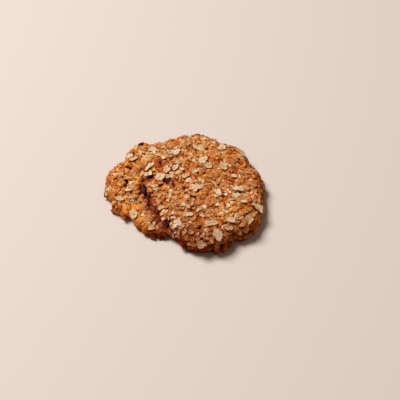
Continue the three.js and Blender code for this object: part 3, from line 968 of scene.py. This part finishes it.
def butter_group():
    """Where butter gleams: on bare tops, less where they are toasted and hardly down the
    wall, by the height in object coordinates."""
    tree, w, given, out = new_group(
        "butter", [("Bare", NUMBER, 1.0), ("Toast", NUMBER, 0.0)], [("Gleam", NUMBER)])
    height = w.add("ShaderNodeSeparateXYZ", {"Vector": w.place()}).outputs["Z"]
    high = w.span(height, 4 * MM, 10 * MM, 0.1, 1.0)
    fresh = w.span(given["Toast"], 0.1, 0.6, 1.0, 0.1)
    w.feed(out, {"Gleam": w.times(given["Bare"], w.times(high, fresh))})
    return tree


MOTTLE = mottle_group()
CRUMB = crumb_group()
TOAST = toast_group()
BUTTER = butter_group()


# ------------------------------------------------------------------ materials

def new_material(name, roughness, specular, glow=0.0, depth=0.0):
    """A material with a Principled shader whose constant values are set on its sockets.
    glow lets light in, up to depth mm for red and less for green and blue."""
    material = bpy.data.materials.new(name)
    material.use_nodes = True
    shader = material.node_tree.nodes["Principled BSDF"]
    shader.inputs["Roughness"].default_value = roughness
    shader.inputs["Specular IOR Level"].default_value = specular
    if glow:
        shader.inputs["Subsurface Weight"].default_value = glow
        shader.inputs["Subsurface Scale"].default_value = depth * MM
        shader.inputs["Subsurface Radius"].default_value = (1.0, 0.36, 0.12)
    return material, Wiring(material.node_tree), shader


def colour_toasted(w, shader, colour):
    """Gives a shader its colour, toasted by the toast mark."""
    toasted = w.group(TOAST, {"Colour": colour, "Amount": w.mark("toast")})
    w.feed(shader, {"Base Color": toasted["Colour"]})


def butter_over(w, shader, bare, patches, least, most):
    """Lets a thin coat of butter gleam where dough is bare, on a surface whose roughness
    goes from least to most with its patches."""
    shader.inputs["Coat Roughness"].default_value = 0.4
    butter = w.group(BUTTER, {"Bare": bare, "Toast": w.mark("toast")})
    w.feed(shader, {"Coat Weight": butter["Gleam"],
                    "Roughness": w.span(patches, 0, 1, least, most)})


def bump(w, shader, height, strength, depth):
    """Bumps a shader's normal by a height, up to depth mm."""
    inputs = {"Height": height, "Strength": strength, "Distance": depth * MM}
    w.feed(shader, {"Normal": w.add("ShaderNodeBump", inputs).outputs[0]})


def dough_material():
    """Baked dough: amber in the crumb, each plate that coats a flake its own tone up to
    pale, golden and ruddy by their marks, with painted shade red-brown in crevices and
    nearly black in pits, and with a butter sheen."""
    material, w, shader = new_material("baked dough", 0.55, 0.01, 0.6, 1.2)
    mottle = w.group(MOTTLE, {"Broad size": 5.0, "Fine size": 1.4})
    tone, coat, ruddy, hollow = map(w.mark, ("tone", "coat", "ruddy", "hollow"))
    amber = w.mix(mottle["Broad"], linear(168, 64, 4), linear(210, 108, 12))
    plate = w.mix(w.span(tone, 0.0, 0.45), linear(184, 80, 10), linear(218, 126, 30))
    pale = w.times(w.span(tone, 0.66, 0.97), coat)
    # The ruddy mark paints red-brown: painted shade along the fold, and red-brown round the
    # raisins and on the front.
    crust = w.over(w.mix(coat, amber, plate),
                   (w.times(w.mark("golden"), 0.65), (246, 184, 98)),
                   (w.times(mottle["Fine"], 0.3), (236, 164, 80)),
                   (w.times(ruddy, 0.85), (140, 48, 16)),
                   (pale, (250, 220, 184)),
                   (w.times(ruddy, 0.3), (160, 62, 30)))
    # Painted shade: red-brown in crevices, darker where ruddy, and nearly black in pits.
    crevice_shade = w.mix(ruddy, linear(122, 38, 4), linear(78, 12, 0))
    crust = w.mix(w.span(hollow, 0.05, 0.9, 0.0, 0.96), crust, crevice_shade)
    crust = w.over(crust, (w.span(hollow, 1.1, 1.8, 0.0, 0.8), (26, 6, 2)))
    colour_toasted(w, shader, crust)
    butter_over(w, shader, w.span(hollow, 0.0, 0.4, 0.65, 0.0), mottle["Fine"], 0.5, 0.7)
    bump(w, shader, w.group(CRUMB, {"Cell size": 0.9})["Height"], 0.7, 0.22)
    return material


def coated_material():
    """Oats coated in dough: from red-brown to pale gold by the oat, flecked, reddened by
    the ruddy mark (painted shade along the fold), with painted shade dark down their sides,
    and with crumbs and a butter sheen."""
    material, w, shader = new_material("dough-coated oats", 0.5, 0.01, 0.6, 1.0)
    mottle = w.group(MOTTLE, {"Broad size": 3.2, "Fine size": 0.9})
    tone, edge = w.mark("tone"), w.mark("edge")
    # Painted shade: dark red-brown from each oat's rim down its side.
    coat = w.over(w.mix(w.span(tone, 0.0, 0.45), linear(176, 76, 8), linear(214, 124, 28)),
                  (w.span(tone, 0.55, 1.0), (234, 168, 84)),
                  (w.times(mottle["Fine"], 0.4), (240, 182, 104)),
                  (w.times(w.mark("ruddy"), 0.7), (130, 48, 22)),
                  (w.span(edge, 0.55, 1.2, 0.0, 0.9), (134, 46, 6)))
    colour_toasted(w, shader, coat)
    butter_over(w, shader, w.span(edge, 0.3, 0.9, 0.65, 0.0), mottle["Broad"], 0.45, 0.65)
    bump(w, shader, w.group(CRUMB, {"Cell size": 0.6})["Height"], 0.7, 0.2)
    return material


def oat_material():
    """Dry rolled oats: tan to cream by the oat, streaked along the grain, with smears of
    dough that creep in from the rim, toasted rims, and painted shade dark down their sides."""
    material, w, shader = new_material("toasted oats", 0.5, 0.12, 0.4, 0.7)
    mottle = w.group(MOTTLE, {"Broad size": 2.6, "Fine size": 0.8})
    lie = w.add("ShaderNodeUVMap", uv_map="lie").outputs[0]
    along = w.add("ShaderNodeMapping", {"Vector": lie, "Scale": (3.0, 26.0, 1.0)}).outputs[0]
    fibre = w.noise(along, 1.0, 3.0)
    tone, edge = w.mark("tone"), w.mark("edge")
    creep = w.maths("ADD", mottle["Broad"], w.span(edge, 0.5, 1.0, 0.0, 0.45))
    # Painted shade: dark red-brown down each oat's side, below its toasted rim.
    cream = w.over(w.mix(w.span(tone, 0.0, 0.5), linear(204, 138, 76), linear(230, 188, 132)),
                   (w.span(tone, 0.45, 0.95), (252, 236, 206)),
                   (w.span(fibre, 0.44, 0.6, 0.0, 0.65), (180, 120, 60)),
                   (w.times(w.span(creep, 0.45, 0.85), w.mark("smear")), (196, 104, 36)),
                   (w.span(edge, 0.8, 1.0, 0.0, 0.3), (212, 146, 84)),
                   (w.span(edge, 1.0, 1.25, 0.0, 0.9), (150, 60, 14)))
    colour_toasted(w, shader, cream)
    bump(w, shader, w.maths("ADD", fibre, w.times(mottle["Fine"], 0.5)), 0.7, 0.18)
    return material


def raisin_material():
    """Raisin skin: near black in its folds as painted shade and purple-brown on its ridges,
    half glossy, with specks or a film of dough by the dusted mark."""
    material, w, shader = new_material("raisin skin", 0.38, 0.1)
    mottle = w.group(MOTTLE, {"Broad size": 2.4, "Fine size": 0.7})
    dusted = w.mark("dusted")
    # The ridge mark paints shade: near black in the folds, purple-brown on the ridges.
    skin = w.mix(w.mark("ridge"), linear(30, 5, 2), linear(128, 56, 44))
    dough = w.mix(mottle["Broad"], linear(110, 40, 16), linear(168, 84, 44))
    film = w.maths("ADD", mottle["Speck"], w.span(dusted, 0.5, 1.0, 0.0, 0.9))
    film = w.maths("MULTIPLY", film, dusted, clamp=True)
    w.feed(shader, {"Base Color": w.mix(film, skin, dough),
                    "Roughness": w.span(mottle["Fine"], 0, 1, 0.26, 0.55)})
    bump(w, shader, w.group(CRUMB, {"Cell size": 0.9})["Height"], 0.35, 0.12)
    return material


# ------------------------------------------------------------------ the dough

def lay_bare_oats(points, normals, bed, calm, part_of):
    """The largest oats, each at its own place and level with the dough round it, and the
    broken ones strewn between them."""
    strewn = Strewn()
    large = np.array(LARGE_OATS)
    rows = np.array([nearest_on_top(bed, part_of, x, y) for x, y in large[:, :2]])
    strewn.places += [(bed[row], (oat[2] + oat[3]) / 4) for row, oat in zip(rows, large)]
    facing = tip(calm[rows] + (0, 0, 0.9), WHOLE_OAT["tilt"], WHOLE_OAT["tips"])
    whole = lay(bed[rows], facing, *large[:, 2:].T, WHOLE_OAT["outlines"])
    settle(whole, points, normals, 0.2, 0.3 + 0.4 * chance(rows, WHOLE_OAT["places"] + 1))

    rows, *sizes = draw(strewn, bed, shown(bed, part_of, 1.8), BROKEN_OAT, pale_share)
    facing = (normals[rows] + calm[rows] + (0, 0, 0.5)) / 2.5
    facing = tip(facing, BROKEN_OAT["tilt"], BROKEN_OAT["tips"])
    broken = lay(bed[rows], facing, *sizes, BROKEN_OAT["outlines"])
    settle(broken, points, normals, 0.3, 0.45 * chance(rows, BROKEN_OAT["places"] + 1))
    return whole, broken, strewn


def raise_plates(points, bed, normals, part_of, upper):
    """Flakes coated in dough: on the bare crumb they show as low plates with soft ragged
    rims, wider and rounder on the lobe, the highest showing where they overlap. Gives the
    height, tone and coat of the upper points."""
    surface, up = points[upper], normals[upper]
    floor = crumb_relief(surface)
    height = floor.copy()
    tone, coat = np.full(len(upper), 0.25), np.zeros(len(upper))
    seed = PLATE["places"]
    rows, length, width, turn = draw(Strewn(), bed, shown(points, part_of, 0.8), PLATE)
    on_lobe = lobe_share(bed[rows])
    grown = 1 + 0.6 * on_lobe
    facing = tip(normals[rows], PLATE["tilt"], PLATE["tips"])
    lift = 0.75 * chance(rows, seed + 1) - 0.1
    centre = (points[rows] + bed[rows]) / 2 + facing * lift[:, None]
    plates = lay(centre, facing, length * grown, width * grown, turn, PLATE["outlines"])
    ragged = 0.16 * drift(surface, 2.6, RAGGED[0]) + 0.1 * drift(surface, 1.3, RAGGED[1])
    colours = np.clip(chance(rows, seed + 3) + 0.5 * (pale_share(points[rows]) - 0.45), 0, 1)
    domes = 0.75 + 0.7 * on_lobe
    for n, (puff, colour, dome) in enumerate(zip(chance(rows, seed + 2), colours, domes)):
        near, plane, out = under_flake(surface, up, plates, n)
        out = out + ragged[near]
        soft = 1 - smooth_step(out, 0.74 - 0.24 * puff, 1.0)
        raised = np.clip(plane, -0.9, 1.0) + dome * puff ** 2 * (1 - np.clip(out, 0, 1) ** 2)
        raised = floor[near] + (raised - 0.75 * floor[near] - 0.1) * soft
        wins = (raised > height[near]) & (soft > 0)
        near, raised, soft, out = near[wins], raised[wins], soft[wins], out[wins]
        height[near] = raised
        tone[near] += (colour - tone[near]) * soft
        # The coat, and with it the pale colour, fades towards each plate's rim: partly its own
        # edge, partly painted shade down its side.
        coat[near] = soft * (1 - 0.5 * np.clip(out, 0, 1) ** 2)
    return height, tone, coat


def press_in(flakes, moat, surface, up, height):
    """Presses the dough's height in to just below each flake's plane, and moat mm deeper
    round its rim."""
    for n, reach in enumerate((flakes["length"] + flakes["width"]) / 4):
        near, plane, out = under_flake(surface, up, flakes, n)
        gap = (out - 1) * reach
        bed_level = np.maximum(plane - 0.3 - moat * smooth_step(gap, -0.4, 0.1), -1.6)
        pressed = (1 - smooth_step(gap, moat - 0.25, moat + 0.4)) * (height[near] < plane + 0.8)
        height[near] += np.minimum(bed_level - height[near], 0) * pressed


def press_underside(points, part_of, marks):
    """The underside: flakes pressed flat at the floor, with crevices between them. Gives the
    hollow mark there, which paints the crevices dark as shade."""
    under = np.flatnonzero(part_of == UNDER)
    flat = points[under] * (1, 1, 0)
    up = np.zeros_like(flat)
    up[:, 2] = 1
    rows, *sizes = draw(Strewn(), flat, np.arange(len(flat)), PRESSED)
    plates = lay(flat[rows], up[rows], *sizes, PRESSED["outlines"])
    seed = PRESSED["places"]
    depth = CREVICE * (0.6 + 0.4 * chance(np.arange(len(flat)), seed + 1))
    tone = np.full(len(flat), 0.2)
    for n, colour in enumerate(chance(rows, seed + 2)):
        near, _, out = under_flake(flat, up, plates, n)
        soft = 1 - smooth_step(out, 0.75, 1.05)
        depth[near] = np.minimum(depth[near], CREVICE * (1 - soft) + 0.1 * colour)
        tone[near] += (colour - tone[near]) * soft
    points[under, 2] = depth
    marks["tone"][under] = tone
    marks["coat"][under] = 0.4
    # Painted shade in the underside's crevices.
    marks["hollow"][under] = smooth_step(depth, 0.12, 0.5) * 0.8


def bake_dough():
    """The dough: its body with the coated plates raised on it, lumps, a bed pressed in
    under each bare oat, cracks, and pockets for the raisins. Makes its piece, and gives the
    finished points, their normals, where each belongs, and the bare oats."""
    points, bed = dough_points(1.0), dough_points(0.65)
    faces, part_of = dough_faces()
    normals = point_normals(bed, faces)
    calm = point_normals(dough_points(0.2), faces)
    whole, broken, strewn = lay_bare_oats(points, normals, bed, calm, part_of)

    upper = np.flatnonzero(part_of != UNDER)
    surface, up = points[upper], normals[upper]
    marks = {"tone": np.full(len(points), 0.3), "coat": np.zeros(len(points)),
             "hollow": np.zeros(len(points))}
    height, tone, coat = raise_plates(points, bed, normals, part_of, upper)
    marks["tone"][upper], marks["coat"][upper] = tone, coat
    lumps = lump_share(surface)
    height = 0.86 * height * (1 - 0.7 * np.sqrt(lumps)) + LUMP_HEIGHT * lumps
    press_in(whole, 0.35, surface, up, height)
    press_in(broken, 0.0, surface, up, height)
    height -= crack_relief(surface)
    height *= smooth_step(surface[:, 2], 0.1, 2.0)
    points[upper] = surface + up * height[:, None]

    relief = np.zeros(len(points))
    relief[upper] = height
    # Painted shade: the hollow mark darkens the dough where it lies low or sunk below its
    # neighbours.
    sunk = smooth_step(evened(relief, faces, 10) - relief, 0.1, 0.6)
    hollow = marks["hollow"]
    hollow[upper] = np.maximum(1 - smooth_step(height, -0.6, 0.02), sunk[upper])
    press_underside(points, part_of, marks)
    # Each raisin's pocket gets painted shade: nearly black, and red-brown round the coated
    # raisins.
    for number, raisin in enumerate(RAISINS, start=1):
        mark = 1 if number in COATED_RAISINS else PIT_MARK
        dig(points, normals, upper, *raisin_axes(raisin, RAISIN_GAP), hollow, mark)
    for x, y, radius in HOLLOWS:
        centre = points[nearest_on_top(points, part_of, x, y)] - (0, 0, HOLLOW_DEPTH)
        dig(points, normals, upper, centre, np.eye(3) / radius, hollow, PIT_MARK)
    points[:, 2] = np.maximum(points[:, 2], 0)

    base_toast = 0.55 + 0.25 * drift(points, 14, PRESSED_TOAST)
    toast = np.where(part_of == UNDER, base_toast, toast_at(points))
    dough = make_piece("dough", points, faces, "dough", dough_material(), toast=toast,
                       ruddy=ruddy_at(points) * (part_of != UNDER), golden=golden_at(points),
                       **marks)
    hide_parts("cookie")
    return points, normals, part_of, whole, broken, strewn


# ------------------------------------------------------------------ what lies on the dough

def strew(name, flakes, kind, material, slot):
    """Makes one piece of a batch of flakes, none of them below the floor."""
    laid = roll_oats(flakes, kind)
    laid["points"][:, 2] = np.maximum(laid["points"][:, 2], 0.02)
    low, high = kind["tones"]
    laid["tone"] = low + (high - low) * laid["tone"]
    marks = {"toast": 0.75 * toast_at(flakes["centre"]), "ruddy": ruddy_at(flakes["centre"])}
    if kind["smear"]:
        low, high = kind["smear"]
        index = np.arange(len(flakes["length"]))
        marks["smear"] = low + (high - low) * chance(index, kind["places"] + 2)
    per = len(laid["points"]) // len(flakes["length"])
    marks = {mark: np.repeat(value, per) for mark, value in marks.items()}
    return make_piece(name, slot=slot, material=material, sharp=CREASES[slot], **laid, **marks)


def cover_with_oats(points, normals, part_of, whole, broken, strewn):
    """All that lies on the dough: the bare oats it was pressed in for, then coated oats,
    shards of oat and grains of dough in between."""
    oats, coated = oat_material(), coated_material()
    pool = shown(points, part_of, 1.2)

    def scatter(kind, keep):
        """A batch of one kind at random places, each tipped and lifted a little."""
        rows, *sizes = draw(strewn, points, pool, kind, keep)
        facing = tip(normals[rows], kind["tilt"], kind["tips"])
        lift = kind["lift"] * chance(rows, kind["places"] + 4)
        return lay(points[rows] + facing * lift[:, None], facing, *sizes, kind["outlines"])

    strew("whole_oats", whole, WHOLE_OAT, oats, "oat")
    strew("broken_oats", broken, BROKEN_OAT, oats, "oat")
    strew("coated_oats", scatter(COATED_OAT, plain_share), COATED_OAT, coated, "dough")
    strewn.places = []
    strew("oat_shards", scatter(SHARD, pale_share), SHARD, oats, "oat")
    strew("dough_grains", scatter(GRAIN, plain_share), GRAIN, coated, "dough")


# ------------------------------------------------------------------ raisins

def dry_raisin(number, raisin, material):
    """A dried grape: a ball on a grid of latitude and longitude, drawn in by folds that
    run along it and wander, with smaller wrinkles across, then stretched to its oval."""
    theta = np.linspace(0, math.pi, RAISIN_ROWS + 2)[1:-1]
    phi = 2 * math.pi * np.arange(RAISIN_COLUMNS) / RAISIN_COLUMNS
    t, p = (grid.ravel() for grid in np.meshgrid(theta, phi, indexing="ij"))
    ball = np.stack([np.cos(t), np.sin(t) * np.cos(p), np.sin(t) * np.sin(p)], 1)
    ball = np.vstack([[1, 0, 0], ball, [-1, 0, 0]])
    seed = WRINKLED + 10 * number
    wander = drift(ball, 1.3, seed) * 0.9
    around = np.arctan2(ball[:, 2], ball[:, 1])
    fold = np.abs(np.sin(3.5 * around + 2.2 * ball[:, 0] + 2.0 * wander))
    cross = np.abs(np.sin(6.5 * ball[:, 0] + 2.6 * wander + 2 * np.sin(around)))
    ridge = 0.65 * fold + 0.35 * cross
    pole = np.abs(ball[:, 0]) ** 6
    size = 1.0 - 0.32 * (1 - ridge) * (1 - 0.7 * pole) + 0.08 * drift(ball, 0.9, seed + 1)
    centre, to_ball = raisin_axes(raisin, 0.0)
    points = centre + (ball * (size / size.max())[:, None]) @ np.linalg.inv(to_ball).T
    brown = 1.0 if number in BROWN_RAISINS else 0.35
    dusted = 1.0 if number in COATED_RAISINS else 0.2
    # The ridge mark carries painted shade in the folds, weaker on the nearly black raisins.
    piece = make_piece(f"raisin_skin_{number}", points, closed_rows(RAISIN_ROWS, RAISIN_COLUMNS),
                       "raisin", material, ridge=smooth_step(ridge, 0.2, 1.0) * brown,
                       dusted=np.full(len(points), dusted))
    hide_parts(f"raisin_{number}")


# ------------------------------------------------------------------ stage, light, camera

def put_in_scene(name, data):
    """A new object in the scene."""
    thing = bpy.data.objects.new(name, data)
    bpy.context.scene.collection.objects.link(thing)
    return thing


def face(thing, gaze):
    """Turns a camera or a lamp to look along a direction."""
    thing.rotation_euler = Vector(gaze).to_track_quat("-Z", "Y").to_euler()


def set_camera():
    """Stands the camera so that the cookie's middle falls on its point of the frame."""
    elevation = math.radians(VIEW_ELEVATION)
    ahead = np.array([0, math.cos(elevation), -math.sin(elevation)])
    up = np.array([0, math.sin(elevation), math.cos(elevation)])
    focal = VIEW_DISTANCE / VIEW_MM_PER_PIXEL
    right_by = FRAME_PIXELS / 2 - VIEW_PIXEL[0]
    down_by = FRAME_PIXELS / 2 - VIEW_PIXEL[1]
    camera = put_in_scene("camera", bpy.data.cameras.new("camera"))
    camera.data.sensor_width = SENSOR
    camera.data.lens = focal * SENSOR / FRAME_PIXELS
    camera.data.clip_start = 0.01
    camera.location = Vector((np.array(VIEW_MIDDLE) - VIEW_DISTANCE * ahead) * MM)
    face(camera, ahead * focal + np.array([1.0, 0, 0]) * right_by - up * down_by)
    bpy.context.scene.camera = camera


def lay_floor():
    """A plain pale floor, a little warm."""
    half = FLOOR_HALF * MM
    corners = [(-half, -half, 0), (half, -half, 0), (half, half, 0), (-half, half, 0)]
    material, _, shader = new_material("pale floor", 0.6, 0.2)
    shader.inputs["Base Color"].default_value = linear(226, 215, 209)
    mesh = bpy.data.meshes.new("floor")
    mesh.from_pydata(corners, [], [(0, 1, 2, 3)])
    mesh.materials.append(material)
    floor = put_in_scene("floor", mesh)


def hang_light(name, place, size, power, colour):
    """A soft square lamp that faces the cookie, at a place in metres."""
    lamp = bpy.data.lights.new(name, "AREA")
    lamp.size, lamp.energy, lamp.color = size, power, colour
    holder = put_in_scene(name, lamp)
    holder.location = Vector(place)
    face(holder, -Vector(place))


def light_studio():
    """A key light behind to the left, a weak fill in front, and an even warm sky."""
    hang_light("key", (-0.76, 0.46, 1.6), 0.8, 35, (1.0, 0.985, 0.96))
    hang_light("fill", (0.7, -0.9, 1.0), 1.2, 0.5, (1.0, 0.8, 0.62))
    world = bpy.data.worlds.new("studio")
    world.use_nodes = True
    sky = world.node_tree.nodes["Background"]
    sky.inputs[0].default_value = (1.0, 0.77, 0.54, 1)
    sky.inputs[1].default_value = 0.16
    bpy.context.scene.world = world
    bpy.context.scene.view_settings.view_transform = "Standard"


set_camera()
cover_with_oats(*bake_dough())
RAISIN_SKIN = raisin_material()
for count, berry in enumerate(RAISINS, start=1):
    dry_raisin(count, berry, RAISIN_SKIN)
lay_floor()
light_studio()
